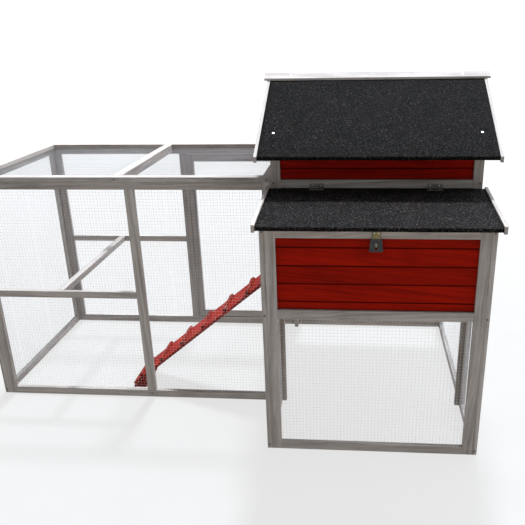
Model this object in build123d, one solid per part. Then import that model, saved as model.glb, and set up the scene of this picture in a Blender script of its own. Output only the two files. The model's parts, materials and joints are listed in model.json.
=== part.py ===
from build123d import *
import math
import os

# Chicken coop with an attached wire run, millimetres, +Z up.
# The long axis lies along X: run on the -X side, hen house on the +X side.
# The front, with the nest box, faces -Y. The origin is the centre of the footprint, on the ground.
# The model is laid out from the house's front left corner and moved to the origin at the end.

# ---------------------------------------------------------------- driving dimensions
W = 780.0            # hen house width
T = 18.0             # timber thickness
S = 36.0             # timber width
R = 30.0             # narrow rail width
BT = 10.0            # matchboard thickness
BP = 65.0            # matchboard cover width
V = 2.4              # matchboard edge chamfer
Y_MAIN = 350.0       # nest box depth, and the plane of the house and run fronts
Y_REAR = 1162.0      # rear plane
X_RUN = -1220.0      # far end of the run
Z_BASE = 32.0        # bottom rail height
Z_F0, Z_F1 = 538.0, 572.0    # floor rail
Z_RUN = 960.0        # top of the run
Z_RP = Z_RUN - T     # underside of the run's top frame
EAVE_Y, EAVE_Z = 267.0, 1052.5   # front edge of the roof felt
RIDGE_Y, RIDGE_Z = 756.0, 1296.5
ROOF_SIDE = 38.0     # roof overhang at each gable
ROOF_PLY, FELT = 10.0, 3.0
STRIP = 12.0         # roof edge strip width
CAP_W, CAP_T, CAP_OVER = 38.0, 8.9, 24.0
LID_F_Y, LID_F_Z = -47.0, 882.0  # front edge of the lid felt
LID_B_Y, LID_B_Z = 344.0, 920.4
LID_SIDE = 6.6
LID_PLY = 9.0
MESH = 1.0           # two layers of 0.5 mm wire
PITCH = 12.7         # wire spacing
RAMP_Y0, RAMP_Y1 = 430.0, 600.0
RAMP_K = 0.812       # ramp rise per run
RAMP_X0 = -669.0     # where the ramp's underside meets the ground
RAMP_T = 12.0
POST_X = (-571.0, -534.0)     # run middle front post
DPOST_X = (-560.0, -524.0)    # run rear door post
CROSS_X = (-624.0, -586.0)    # run top crossbar
HINGE_R, HINGE_T, PIN_R = 3.5, 1.5, 1.5

K = (RIDGE_Z - EAVE_Z) / (RIDGE_Y - EAVE_Y)
COSK = 1.0 / math.hypot(1.0, K)
KL = (LID_B_Z - LID_F_Z) / (LID_B_Y - LID_F_Y)
CA = 1.0 / math.hypot(1.0, RAMP_K)
SA = RAMP_K * CA
X_MIN, X_MAX = X_RUN, W + ROOF_SIDE + CAP_OVER
Y_MIN, Y_MAX = LID_F_Y - 2.0, 2 * RIDGE_Y - EAVE_Y + FELT
XC, YC = (X_MIN + X_MAX) / 2, (Y_MIN + Y_MAX) / 2

NODES = {}


def put(name, *solids):
    NODES.setdefault(name, []).extend(solids)


def bx(x0, x1, y0, y1, z0, z1):
    return Solid.make_box(x1 - x0, y1 - y0, z1 - z0).moved(Location((x0, y0, z0)))


def prism(pts, vec):
    face = Face(Wire.make_polygon([Vector(*p) for p in pts], close=True))
    return Solid.extrude(face, Vector(*vec))


def prism_x(yz, x0, x1):
    return prism([(x0, y, z) for y, z in yz], (x1 - x0, 0, 0))


def prism_y(xz, y0, y1):
    return prism([(x, y0, z) for x, z in xz], (0, y1 - y0, 0))


def prism_z(xy, z0, z1):
    return prism([(x, y, z0) for x, y in xy], (0, 0, z1 - z0))


def cyl(r, p0, p1):
    a, b = Vector(p0), Vector(p1)
    return Solid.make_cylinder(r, (b - a).length, Plane(origin=a, z_dir=(b - a)))


def one(shape):
    s = shape.solids()
    assert len(s) == 1, len(s)
    return s[0]


def clip(poly, a, b, c):
    # keep the side of a convex polygon where a*y + b*z <= c
    out = []
    for i in range(len(poly)):
        p, q = poly[i], poly[(i + 1) % len(poly)]
        dp, dq = a * p[0] + b * p[1] - c, a * q[0] + b * q[1] - c
        if dp <= 1e-9:
            out.append(p)
        if (dp < -1e-9 and dq > 1e-9) or (dp > 1e-9 and dq < -1e-9):
            t = dp / (dp - dq)
            out.append((p[0] + t * (q[0] - p[0]), p[1] + t * (q[1] - p[1])))
    return out


def roof_top(y):
    return RIDGE_Z - K * abs(y - RIDGE_Y)


def roof_under(y):
    return roof_top(y) - (ROOF_PLY + FELT) / COSK


def lid_top(y):
    return LID_F_Z + KL * (y - LID_F_Y)


def lid_under(y):
    return lid_top(y) - FELT - LID_PLY


def board_profile(d0, d1, z0, z1, sign):
    # section of a matchboard: depth d0..d1, face at d0 when sign is -1, at d1 when sign is +1
    if sign < 0:
        return [(d0, z0 + V), (d0 + V, z0), (d1, z0), (d1, z1), (d0 + V, z1), (d0, z1 - V)]
    return [(d0, z0), (d1 - V, z0), (d1, z0 + V), (d1, z1 - V), (d1 - V, z1), (d0, z1)]


def boards_x(name, x0, x1, y0, y1, edges, sign):
    # horizontal boards running along X
    for a, b in zip(edges, edges[1:]):
        put(name, prism_x(board_profile(y0, y1, a, b, sign), x0, x1))


def boards_y(name, y0, y1, x0, x1, edges, sign, under=None, gap=0.0):
    # horizontal boards running along Y, cut to the roof line where under is given
    for a, b in zip(edges, edges[1:]):
        long = prism_y(board_profile(x0, x1, a, b, sign), y0, y1)
        if under is None:
            put(name, long)
            continue
        poly = [(y0, a), (y1, a), (y1, b), (y0, b)]
        top = under(RIDGE_Y) - gap
        poly = clip(poly, -K, 1.0, top - K * RIDGE_Y)
        poly = clip(poly, K, 1.0, top + K * RIDGE_Y)
        area = 0.0
        for i in range(len(poly)):
            p, q = poly[i], poly[(i + 1) % len(poly)]
            area += 0.5 * (p[0] * q[1] - q[0] * p[1])
        if len(poly) < 3 or abs(area) < 200.0:
            continue
        whole = len(poly) == 4 and abs(abs(area) - (y1 - y0) * (b - a)) < 1.0
        put(name, long if whole else one(long & prism_x(poly, x0 - 1, x1 + 1)))


def frame_board(plane, u, v, w):
    # a box in a plane's own directions, each argument a (low, high) pair
    b = Solid.make_box(u[1] - u[0], v[1] - v[0], w[1] - w[0])
    return b.moved(Location((u[0], v[0], w[0]))).moved(plane.location)


def butt_hinge(centre, axis, a_dir, a_n, b_dir, b_n, length, wa, wb):
    # three-knuckle butt hinge; leaf A keeps the end knuckles, leaf B the middle one.
    # each leaf lies on a face HINGE_R from the pin's centre, along -n
    u, c = Vector(*axis).normalized(), Vector(*centre)
    seg = [(-length / 2, -length / 6 - 0.2), (-length / 6 + 0.2, length / 6 - 0.2), (length / 6 + 0.2, length / 2)]

    def leaf(d, n, width, mine):
        d, n = Vector(*d).normalized(), Vector(*n).normalized()
        s = 1.0 if u.cross(d).dot(n) > 0 else -1.0
        pl = Plane(origin=c, x_dir=d, z_dir=u)
        v = (-HINGE_R, -HINGE_R + HINGE_T) if s > 0 else (HINGE_R - HINGE_T, HINGE_R)
        body = frame_board(pl, (HINGE_R + 0.5, width), v, (-length / 2, length / 2))
        for i in mine:
            lo, hi = seg[i]
            body = body + frame_board(pl, (0.0, HINGE_R + 0.5), v, (lo, hi))
            body = body + cyl(HINGE_R, (c + u * lo), (c + u * hi))
        body = body - cyl(PIN_R + 0.05, (c - u * (length / 2 + 1)), (c + u * (length / 2 + 1)))
        return one(body)

    pin = cyl(PIN_R, (c - u * (length / 2 + 0.6)), (c + u * (length / 2 + 0.6)))
    return leaf(a_dir, a_n, wa, (0, 2)), leaf(b_dir, b_n, wb, (1,)), pin


def barrel_bolt(centre, slide, normal):
    # case with two loops, sliding rod with a knob, and a keeper; the rod is drawn back
    d, n, c = Vector(*slide).normalized(), Vector(*normal).normalized(), Vector(*centre)
    pl = Plane(origin=c, x_dir=d, z_dir=n)
    h = 7.5

    def along(a, b, r, off=h):
        p = c + n * off
        return cyl(r, (p + d * a), (p + d * b))

    case = frame_board(pl, (-30, 30), (-12, 12), (0, 1.5))
    for a in (-28, 18):
        case = case + frame_board(pl, (a, a + 10), (-7, 7), (1.5, 13.5))
    case = one(case - along(-40, 40, 4.06))
    rod = along(-33, 29, 4.0)
    rod = one(rod + cyl(2.6, (c + n * h + d * -12), (c + n * (h + 14) + d * -12)) + cyl(4.2, (c + n * (h + 10) + d * -12), (c + n * (h + 15) + d * -12)))
    keeper = frame_board(pl, (36, 48), (-12, 12), (0, 1.5)) + frame_board(pl, (37, 47), (-7, 7), (1.5, 13.5))
    keeper = one(keeper - along(30, 55, 4.5))
    return case, rod, keeper


def screw(p, direction, length=28.0, head=4.2):
    # round-headed screw; direction points out of the timber
    v, q = Vector(*direction).normalized(), Vector(*p)
    s = Solid.make_cylinder(head, 1.4, Plane(origin=q, z_dir=v))
    e = [x for x in s.edges() if x.geom_type == GeomType.CIRCLE]
    e = sorted(e, key=lambda x: (x.center() - q).dot(v))
    s = one(s.chamfer(0.8, None, [e[-1]]))
    return one(s + Solid.make_cylinder(1.6, length, Plane(origin=q, z_dir=v * -1)))


# ---------------------------------------------------------------- nest box
for sx, x0 in (("left", 0.0), ("right", W - T)):
    x1 = x0 + T
    g = 1.4
    top = lambda y: lid_under(y) - g
    n = "nest_side_frames"
    put(n, prism_x([(0, 0), (S, 0), (S, top(S)), (0, top(0))], x0, x1))
    put(n, prism_x([(Y_MAIN - S, 0), (Y_MAIN, 0), (Y_MAIN, top(Y_MAIN - 8)), (Y_MAIN - S, top(Y_MAIN - S))], x0, x1))
    ya, yb = S, Y_MAIN - S
    put(n, prism_x([(ya, top(ya) - S), (yb, top(yb) - S), (yb, top(yb)), (ya, top(ya))], x0, x1))
    put(n, bx(x0, x1, ya, yb, Z_F0, Z_F1), bx(x0, x1, ya, yb, 0, Z_BASE))
    bx0, bx1, sg = (8.0, T, -1) if sx == "left" else (W - T, W - 8.0, 1)
    zs = [Z_F1, 602, 667, 732, 797]
    boards_y("nest_side_boards", ya, yb, bx0, bx1, zs, sg)
    zt = lambda y: top(y) - S
    prof = prism_y(board_profile(bx0, bx1, 797, 875, sg), ya, yb)
    put("nest_side_boards", one(prof & prism_x([(ya, 790), (yb, 790), (yb, zt(yb)), (ya, zt(ya))], bx0 - 1, bx1 + 1)))

zt = lid_under(0) - 1.4
put("nest_front_frame",
    bx(T, T + S, 0, T, 0, zt), bx(W - T - S, W - T, 0, T, 0, zt),
    bx(T + S, W - T - S, 0, T, 831, zt),
    bx(T + S, W - T - S, 0, T, Z_F0, Z_F1),
    bx(T + S, W - T - S, 0, T, 0, Z_BASE))
boards_x("nest_front_boards", T + S, W - T - S, 8, T, [Z_F1, 602, 667, 732, 797, 831], -1)
put("floor_panels", bx(T, W - T, T, Y_MAIN, Z_F1 - 9, Z_F1))
for x in (262.0, 509.0):
    put("nest_dividers", bx(x, x + 9, T, Y_MAIN, Z_F1, 800))
put("nest_dividers", bx(S, W - S, Y_MAIN, Y_MAIN + T, Z_F1, 632))

# ---------------------------------------------------------------- hen house
zr = roof_under(Y_MAIN)
for name, y0, y1 in (("house_front_frame", Y_MAIN, Y_MAIN + T), ("house_rear_frame", Y_REAR - T, Y_REAR)):
    put(name, bx(0, S, y0, y1, 0, zr), bx(W - S, W, y0, y1, 0, zr),
        bx(S, W - S, y0, y1, zr - S, zr),
        bx(S, W - S, y0, y1, Z_F0, Z_F1))
put("house_front_frame", bx(S, W - S, Y_MAIN, Y_MAIN + T, 920, 951))
put("house_rear_frame", bx(S, W - S, Y_REAR - T, Y_REAR, 0, Z_BASE))
boards_x("house_front_boards", S, W - S, Y_MAIN + 8, Y_MAIN + T, [951, 992, zr - S], -1)
rear_edges = [Z_F1, 602, 667, 732, 797, 862, 927, 992, zr - S]
boards_x("house_rear_boards", S, W - S, Y_REAR - T, Y_REAR - 8, rear_edges, 1)

YA, YB = Y_MAIN + T + S, Y_REAR - T - S      # between the side frames' stiles
POP_TOP = 830.0
SD_Y1 = 784.0                                # side door opening, rear jamb
SD_Z0, SD_Z1 = 650.0, 930.0
for name, x0 in (("house_left_frame", 0.0), ("house_right_frame", W - T)):
    x1 = x0 + T
    for ya, yb in ((YA - S, YA), (YB, YB + S)):
        put(name, prism_x([(ya, 0), (yb, 0), (yb, roof_under(yb) - 0.4), (ya, roof_under(ya) - 0.4)], x0, x1))
    put(name, prism_x([(YA, roof_under(YA) - S - 0.4), (RIDGE_Y, roof_under(RIDGE_Y) - S - 0.4), (RIDGE_Y, roof_under(RIDGE_Y) - 0.4), (YA, roof_under(YA) - 0.4)], x0, x1))
    put(name, prism_x([(RIDGE_Y, roof_under(RIDGE_Y) - S - 0.4), (YB, roof_under(YB) - S - 0.4), (YB, roof_under(YB) - 0.4), (RIDGE_Y, roof_under(RIDGE_Y) - 0.4)], x0, x1))
    put(name, bx(x0, x1, YA, YB, Z_F0, Z_F1))
put("house_right_frame", bx(W - T, W, YA, YB, 0, Z_BASE))
put("house_left_frame",
    bx(0, T, YA, RAMP_Y0, Z_F1, POP_TOP), bx(0, T, RAMP_Y1, RAMP_Y1 + R, Z_F1, POP_TOP),
    bx(0, T, YA, RAMP_Y1 + R, POP_TOP, POP_TOP + R))
gable = [862, 927, 992, 1057, 1122, 1187, 1252]
boards_y("house_left_boards", RAMP_Y1 + R, YB, 8, T, [Z_F1, 602, 667, 732, 797, POP_TOP + R], -1)
boards_y("house_left_boards", YA, YB, 8, T, [POP_TOP + R, 927, 992, 1057, 1122, 1187, 1252], -1, roof_under, S + 0.4)
put("house_right_frame",
    bx(W - T, W, YA, YB, 626, SD_Z0), bx(W - T, W, SD_Y1, SD_Y1 + S, SD_Z0, SD_Z1),
    bx(W - T, W, YA, YB, SD_Z1, SD_Z1 + R))
boards_y("house_right_boards", SD_Y1 + S, YB, W - T, W - 8, [SD_Z0, 667, 732, 797, 862, SD_Z1], 1)
boards_y("house_right_boards", YA, YB, W - T, W - 8, [SD_Z1 + R, 992, 1057, 1122, 1187, 1252], 1, roof_under, S + 0.4)
put("floor_panels", bx(T, W - T, Y_MAIN + T, Y_REAR - T, Z_F1 - 9, Z_F1))
for x0 in (T, W - 2 * T):
    put("floor_bearers", bx(x0, x0 + T, Y_MAIN + T, Y_REAR - T, Z_F1 - 27, Z_F1 - 9))
    put("floor_bearers", bx(x0, x0 + T, S, Y_MAIN - 2, Z_F1 - 27, Z_F1 - 9))
for y in (900.0, 1020.0):
    bar = Solid.make_box(W - 2 * T, R, R).moved(Location((T, y, 700)))
    put("roost_bars", one(bar.chamfer(6, None, [e for e in bar.edges().filter_by(Axis.X) if e.center().Z > 720])))
put("ridge_beam", bx(T, W - T, RIDGE_Y - 9, RIDGE_Y + 9, 1236, 1272))

# ---------------------------------------------------------------- roof
pv, fv = ROOF_PLY / COSK, FELT / COSK
X0, X1 = -ROOF_SIDE, W + ROOF_SIDE
for side in (1, -1):
    def m(y):
        return y if side > 0 else 2 * RIDGE_Y - y
    yr, ye = RIDGE_Y, EAVE_Y

    def slab(ya, yb, lo, hi, xa, xb):
        return prism_x([(m(ya), roof_top(ya) + lo), (m(yb), roof_top(yb) + lo), (m(yb), roof_top(yb) + hi), (m(ya), roof_top(ya) + hi)], xa, xb)
    put("roof_panels", slab(ye, yr, -fv - pv, -fv, X0, X1))
    fn = "roof_felts"
    put(fn, slab(ye, yr, -fv, 0, X0, X1))
    ylo, yhi = sorted((m(ye - FELT), m(ye)))
    put(fn, bx(X0, X1, ylo, yhi, EAVE_Z - fv - pv, EAVE_Z - 0.4))
    for xa, xb in ((X0 - STRIP, X0), (X1, X1 + STRIP)):
        put("roof_edge_strips", slab(ye - FELT, yr, -21, 0, xa, xb))
    put("ridge_cap", slab(yr - CAP_W, yr, 0, CAP_T, X0 - CAP_OVER, X1 + CAP_OVER))

# ---------------------------------------------------------------- pen under the house
def mesh_y(name, x0, x1, y, z0, z1):
    put(name, bx(x0, x1, y, y + MESH, z0, z1))


def mesh_x(name, x, y0, y1, z0, z1):
    put(name, bx(x, x + MESH, y0, y1, z0, z1))


mesh_y("pen_front_mesh", T + S - 12, W - T - S + 12, T, 18, Z_F0 + 6)
mesh_x("pen_meshes", T, 24, Y_MAIN - 12, 18, Z_F0 + 6)
mesh_x("pen_meshes", W - T - MESH, 24, Y_MAIN - 12, 18, Z_F0 + 6)
mesh_x("pen_meshes", W - T - MESH, YA - 12, YB + 12, 18, Z_F0 + 6)
mesh_y("pen_meshes", S - 10, W - S + 10, Y_REAR - T - MESH, 18, Z_F0 + 6)

# ---------------------------------------------------------------- run
XL = X_RUN + T                                # front and rear frames fit against the end frame
for name, y0, y1 in (("run_front_frame", Y_MAIN, Y_MAIN + T), ("run_rear_frame", Y_REAR - T, Y_REAR)):
    post = POST_X if name == "run_front_frame" else DPOST_X
    zb = Z_BASE if name == "run_front_frame" else 36.0
    put(name, bx(XL, XL + S, y0, y1, 0, Z_RP), bx(-S, 0, y0, y1, 0, Z_RP),
        bx(post[0], post[1], y0, y1, zb, Z_RP - R),
        bx(XL + S, -S, y0, y1, Z_RP - R, Z_RP),
        bx(XL + S, -S, y0, y1, 0, zb),
        bx(XL + S, post[0], y0, y1, 459.5, 488))
put("run_end_frame",
    bx(X_RUN, XL, Y_MAIN, Y_MAIN + S, 0, Z_RP), bx(X_RUN, XL, Y_REAR - S, Y_REAR, 0, Z_RP),
    bx(X_RUN, XL, Y_MAIN + S, Y_REAR - S, Z_RP - R, Z_RP),
    bx(X_RUN, XL, Y_MAIN + S, Y_REAR - S, 0, Z_BASE))
put("run_top_frame",
    bx(X_RUN, X_RUN + S, Y_MAIN, Y_REAR, Z_RP, Z_RUN),
    bx(X_RUN + S, 0, Y_MAIN, Y_MAIN + 44, Z_RP, Z_RUN),
    bx(X_RUN + S, 0, Y_REAR - S, Y_REAR, Z_RP, Z_RUN),
    bx(-S, 0, Y_MAIN + 44, Y_REAR - S, Z_RP, Z_RUN),
    bx(CROSS_X[0], CROSS_X[1], Y_MAIN + 44, Y_REAR - S, Z_RUN - S, Z_RUN))
put("run_perch", bx(-913, -885, Y_MAIN + T, Y_REAR - T, 462, 488))
mesh_y("run_wall_meshes", XL + 24, POST_X[0] + 12, Y_MAIN + T, 18, 461)
mesh_y("run_wall_meshes", XL + 24, POST_X[0] + 12, Y_MAIN + T, 489, 925)
mesh_y("run_wall_meshes", POST_X[1] - 12, -24, Y_MAIN + T, 18, 925)
mesh_y("run_wall_meshes", XL + 24, DPOST_X[0] + 12, Y_REAR - T - MESH, 18, 461)
mesh_y("run_wall_meshes", XL + 24, DPOST_X[0] + 12, Y_REAR - T - MESH, 489, 925)
mesh_x("run_wall_meshes", XL, Y_MAIN + 24, Y_REAR - 24, 18, 925)
put("run_top_meshes", bx(XL + 2, CROSS_X[0], Y_MAIN + T + 2, Y_REAR - T - 2, Z_RP - MESH, Z_RP))
put("run_top_meshes", bx(CROSS_X[1], -2, Y_MAIN + T + 2, Y_REAR - T - 2, Z_RP - MESH, Z_RP))

# ---------------------------------------------------------------- nest lid, hinged at its back edge
LX0, LX1 = -LID_SIDE, W + LID_SIDE


def lid_slab(ya, yb, lo, hi, xa, xb):
    return prism_x([(ya, lid_top(ya) + lo), (yb, lid_top(yb) + lo), (yb, lid_top(yb) + hi), (ya, lid_top(ya) + hi)], xa, xb)


put("lid_panel", lid_slab(LID_F_Y + 2.5, LID_B_Y, -FELT - LID_PLY, -FELT, LX0, LX1))
put("lid_felt", lid_slab(LID_F_Y + 2.5, LID_B_Y, -FELT, 0, LX0, LX1),
    bx(LX0, LX1, LID_F_Y, LID_F_Y + 2.5, LID_F_Z - 14, LID_F_Z - 0.2))
for xa, xb in ((LX0 - 11.4, LX0), (LX1, LX1 + 11.4)):
    put("lid_edge_strips", lid_slab(LID_F_Y - 2, LID_B_Y, -19, 7, xa, xb))
for x in (150.0, 594.0):
    put("lid_battens", lid_slab(34, 308, -FELT - LID_PLY - T, -FELT - LID_PLY, x, x + S))
LID_AXIS = (0.0, Y_MAIN - HINGE_R, lid_top(Y_MAIN - HINGE_R) + HINGE_R * math.hypot(1.0, KL))
for xc in (172.0, 607.5):
    # the wall leaf lies on the rail face at Y_MAIN, the lid leaf on the felt
    c = (xc, LID_AXIS[1], LID_AXIS[2])
    a, _, _ = butt_hinge(c, (1, 0, 0), (0, 0, 1), (0, -1, 0), (0, -1, 0), (0, 0, 1), 55.0, 13.5, 20.0)
    b_dir = (0, -1.0, -KL)
    b_n = (0, -KL, 1.0)
    _, b, p = butt_hinge(c, (1, 0, 0), (0, 0, 1), (0, -1, 0), b_dir, b_n, 55.0, 13.5, 26.0)
    put("hinge_leaves_fixed", a)
    put("lid_hinge_leaves", b)
    put("hinge_pins", p)

# hasp: leaf under the lid, tongue over a staple on the nest box
HX = 389.0
HASP_Y, HASP_Z = -7.0, lid_under(-7.0) - HINGE_R - 0.5
leafy = prism_x([(-38, lid_under(-38) - HINGE_T), (HASP_Y, lid_under(HASP_Y) - HINGE_T), (HASP_Y, lid_under(HASP_Y)), (-38, lid_under(-38))], HX - 14, HX + 14)
mid = (HX - 5, HX + 5)
leafy = leafy - bx(mid[0] - 0.2, mid[1] + 0.2, HASP_Y - 4.2, HASP_Y + 5, HASP_Z - 6, HASP_Z + 6)
for xa, xb in ((HX - 14, mid[0] - 0.2), (mid[1] + 0.2, HX + 14)):
    leafy = leafy + cyl(HINGE_R, (xa, HASP_Y, HASP_Z), (xb, HASP_Y, HASP_Z))
leafy = leafy - cyl(PIN_R + 0.05, (HX - 20, HASP_Y, HASP_Z), (HX + 20, HASP_Y, HASP_Z))
put("hasp_hinge", one(leafy))
put("hasp_hinge", cyl(PIN_R, (HX - 14.5, HASP_Y, HASP_Z), (HX + 14.5, HASP_Y, HASP_Z)))
ty0, ty1 = HASP_Y + HINGE_R - HINGE_T, HASP_Y + HINGE_R
tz = HASP_Z - HINGE_R - 0.6
tongue = prism_y([(HX - 14, tz), (HX - 14, 833), (HX - 19, 830), (HX - 23, 791), (HX - 19.5, 787), (HX + 19.5, 787), (HX + 23, 791), (HX + 19, 830), (HX + 14, 833), (HX + 14, tz)], ty0, ty1)
tongue = tongue + bx(mid[0], mid[1], ty0, ty1, tz - 1, HASP_Z) + cyl(HINGE_R, (mid[0], HASP_Y, HASP_Z), (mid[1], HASP_Y, HASP_Z))
tongue = tongue - cyl(PIN_R + 0.05, (HX - 20, HASP_Y, HASP_Z), (HX + 20, HASP_Y, HASP_Z))
tongue = tongue - bx(HX - 3.5, HX + 3.5, ty0 - 1, ty1 + 1, 793, 822)
put("hasp_tongue", one(tongue))
staple = bx(HX - 12, HX + 12, 6.5, 8.0, 800, 830) + prism_x([(6.5, 811), (6.5, 819), (-8, 819), (-10, 817), (-10, 813), (-8, 811)], HX - 1.5, HX + 1.5)
staple = staple - cyl(1.6, (HX - 4, -7.2, 815), (HX + 4, -7.2, 815))
put("hasp_staple", one(staple))

# ---------------------------------------------------------------- ramp, hinged below the pop hole
rv = RAMP_T / CA


def ramp_z(x):
    return RAMP_K * (x - RAMP_X0)


RX1 = -10.0
RX0 = -654.0                                 # lower end of the underside, cut square
put("ramp_board", prism_y([(RX0, ramp_z(RX0)), (RX1, ramp_z(RX1)), (RX1, ramp_z(RX1) + rv), (RX0 - SA * RAMP_T, ramp_z(RX0) + CA * RAMP_T)], RAMP_Y0, RAMP_Y1))
put("ramp_cleats", prism_y([(-661, 0), (-604, 0), (-604, ramp_z(-604)), (RX0, ramp_z(RX0)), (-661, ramp_z(-661))], RAMP_Y0, RAMP_Y1))
for xq in (-619.0, -520.0, -421.0, -322.0, -223.0, -124.0):
    px, pz = xq, ramp_z(xq) + rv
    q = [(px + CA * s - SA * h, pz + SA * s + CA * h) for s, h in ((-10, 0), (10, 0), (8, 12), (-8, 12))]
    put("ramp_cleats", prism_y(q, RAMP_Y0, RAMP_Y1))
RAMP_AX, RAMP_AZ = -HINGE_R, RAMP_K * (-HINGE_R - RAMP_X0) + rv + HINGE_R / CA
for yc in (462.0, 568.0):
    a, b, p = butt_hinge((RAMP_AX, yc, RAMP_AZ), (0, 1, 0), (0, 0, -1), (-1, 0, 0), (-CA, 0, -SA), (-SA, 0, CA), 40.0, 20.0, 28.0)
    put("hinge_leaves_fixed", a)
    put("ramp_hinge_leaves", b)
    put("hinge_pins", p)

# ---------------------------------------------------------------- sliding pop-hole door, drawn back
door = bx(20, 29, 606, 796, 580.3, 845.7) - cyl(11, (10, 640, 712), (40, 640, 712))
put("pop_door", one(door))
put("pop_door_guides",
    bx(T, 31.5, YA, 812, Z_F1, 579.8), bx(31.5, 41, YA, 812, Z_F1, 592),
    bx(T, 31.5, YA, 812, 846.2, 854), bx(31.5, 41, YA, 812, 834, 854),
    bx(T, 31.5, 798, 812, 592, 834))

# ---------------------------------------------------------------- droppings tray
ty = (412.0, 1100.0)
tray = bx(46, W - T, ty[0], ty[1], 573, 612) - bx(47.5, W - T - 1.5, ty[0] + 1.5, ty[1] - 1.5, 574.5, 620)
put("tray", one(tray))
put("tray_front", bx(W - T, W, YA + 2, YB - 2, 574, 624))
yh = (YA + YB) / 2
handle = bx(W, W + 1.5, yh - 55, yh + 55, 589, 609)
grip = bx(W + 1.5, W + 22, yh - 42, yh - 36, 596, 602) + bx(W + 1.5, W + 22, yh + 36, yh + 42, 596, 602) + bx(W + 16, W + 22, yh - 42, yh + 42, 596, 602)
put("tray_handle", one(handle + grip))

# ---------------------------------------------------------------- run door, hinged at the rear post
DX0, DX1, DZ0, DZ1 = DPOST_X[1] + 2.5, -S - 2.5, 39.0, Z_RP - R - 3.0
yd0, yd1 = Y_REAR - T, Y_REAR
put("run_door_frame",
    bx(DX0, DX0 + R, yd0, yd1, DZ0, DZ1), bx(DX1 - R, DX1, yd0, yd1, DZ0, DZ1),
    bx(DX0 + R, DX1 - R, yd0, yd1, DZ0, DZ0 + S), bx(DX0 + R, DX1 - R, yd0, yd1, DZ1 - S, DZ1))
put("run_door_mesh", bx(DX0 + 12, DX1 - 12, yd0 - MESH, yd0, DZ0 + 12, DZ1 - 12))
HXD = (DPOST_X[1] + DX0) / 2
for zc in (140.0, 800.0):
    a, b, p = butt_hinge((HXD, Y_REAR + HINGE_R, zc), (0, 0, 1), (-1, 0, 0), (0, 1, 0), (1, 0, 0), (0, 1, 0), 60.0, 26.0, 26.0)
    put("hinge_leaves_fixed", a)
    put("run_door_hinge_leaves", b)
    put("hinge_pins", p)
case, rod, keeper = barrel_bolt((DX1 - 31.5, Y_REAR, 480.0), (1, 0, 0), (0, 1, 0))
put("run_door_bolt_case", case)
put("run_door_bolt", rod)
put("bolt_keepers", keeper)

# ---------------------------------------------------------------- side door, hinged at its rear jamb
SY0, SY1, SZ0, SZ1 = YA + 3, SD_Y1 - 3, SD_Z0 + 3, SD_Z1 - 3
put("side_door_frame",
    bx(W - T, W, SY0, SY0 + R, SZ0, SZ1), bx(W - T, W, SY1 - R, SY1, SZ0, SZ1),
    bx(W - T, W, SY0 + R, SY1 - R, SZ0, SZ0 + R), bx(W - T, W, SY0 + R, SY1 - R, SZ1 - R, SZ1))
boards_y("side_door_boards", SY0 + R, SY1 - R, W - T, W - 8, [SZ0 + R, 732, 797, 862, SZ1 - R], 1)
HYD = (SY1 + SD_Y1) / 2
for zc in (705.0, 875.0):
    a, b, p = butt_hinge((W + HINGE_R, HYD, zc), (0, 0, 1), (0, 1, 0), (1, 0, 0), (0, -1, 0), (1, 0, 0), 50.0, 26.0, 26.0)
    put("hinge_leaves_fixed", a)
    put("side_door_hinge_leaves", b)
    put("hinge_pins", p)
case, rod, keeper = barrel_bolt((W, SY0 + 31.5, 790.0), (0, -1, 0), (1, 0, 0))
put("side_door_bolt_case", case)
put("side_door_bolt", rod)
put("bolt_keepers", keeper)

# ---------------------------------------------------------------- screws through the frames and the roof
for x in (9.0, W - 9.0):
    for z in (16.0, 548.0, 852.0):
        put("frame_screws", screw((x, 0, z), (0, -1, 0)))
    for z in (104.0, 548.0, 938.0, 1061.0):
        put("frame_screws", screw((x, Y_MAIN, z), (0, -1, 0)) if z > 930 else screw((x, Y_REAR, z), (0, 1, 0)))
    for z in (1061.0,):
        put("frame_screws", screw((x, Y_REAR, z), (0, 1, 0)))
    for yy in (394.0, 2 * RIDGE_Y - 394.0):
        s = 1 if yy < RIDGE_Y else -1
        put("frame_screws", screw((x, yy, roof_top(yy)), (0, -K * s, 1), 30.0, 5.0))
for x in (X_RUN + 9, (CROSS_X[0] + CROSS_X[1]) / 2, -18.0):
    put("frame_screws", screw((x, Y_MAIN, 951), (0, -1, 0)))
for x in (X_RUN + 9, POST_X[0] + 18, -18.0):
    put("frame_screws", screw((x, Y_MAIN, 16), (0, -1, 0), 15.0))
for x in (X_RUN + 9, DPOST_X[0] + 18, -18.0):
    put("frame_screws", screw((x, Y_REAR, 951), (0, 1, 0)), screw((x, Y_REAR, 18), (0, 1, 0), 15.0))
for x in (45.0, 735.0):
    for s in (1, -1):
        y = RIDGE_Y - s * 20
        put("frame_screws", screw((x, y, roof_top(y) + CAP_T), (0, -K * s, 1), 20.0))

os.makedirs("parts", exist_ok=True)
for name, solids in NODES.items():
    moved = [s.moved(Location((-XC, -YC, 0))) for s in solids]
    export_step(moved[0] if len(moved) == 1 else Compound(children=moved), f"parts/{name}.step")
print(len(NODES), "nodes; shift", XC, YC)
print("axes: lid", LID_AXIS, "hasp", (HASP_Y, HASP_Z), "ramp", (RAMP_AX, RAMP_AZ), "run door", (HXD, Y_REAR + HINGE_R), "side door", (W + HINGE_R, HYD))
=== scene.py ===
import json
import math
import random

import bmesh
import bpy
import numpy as np
from mathutils import Matrix, Vector

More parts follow.
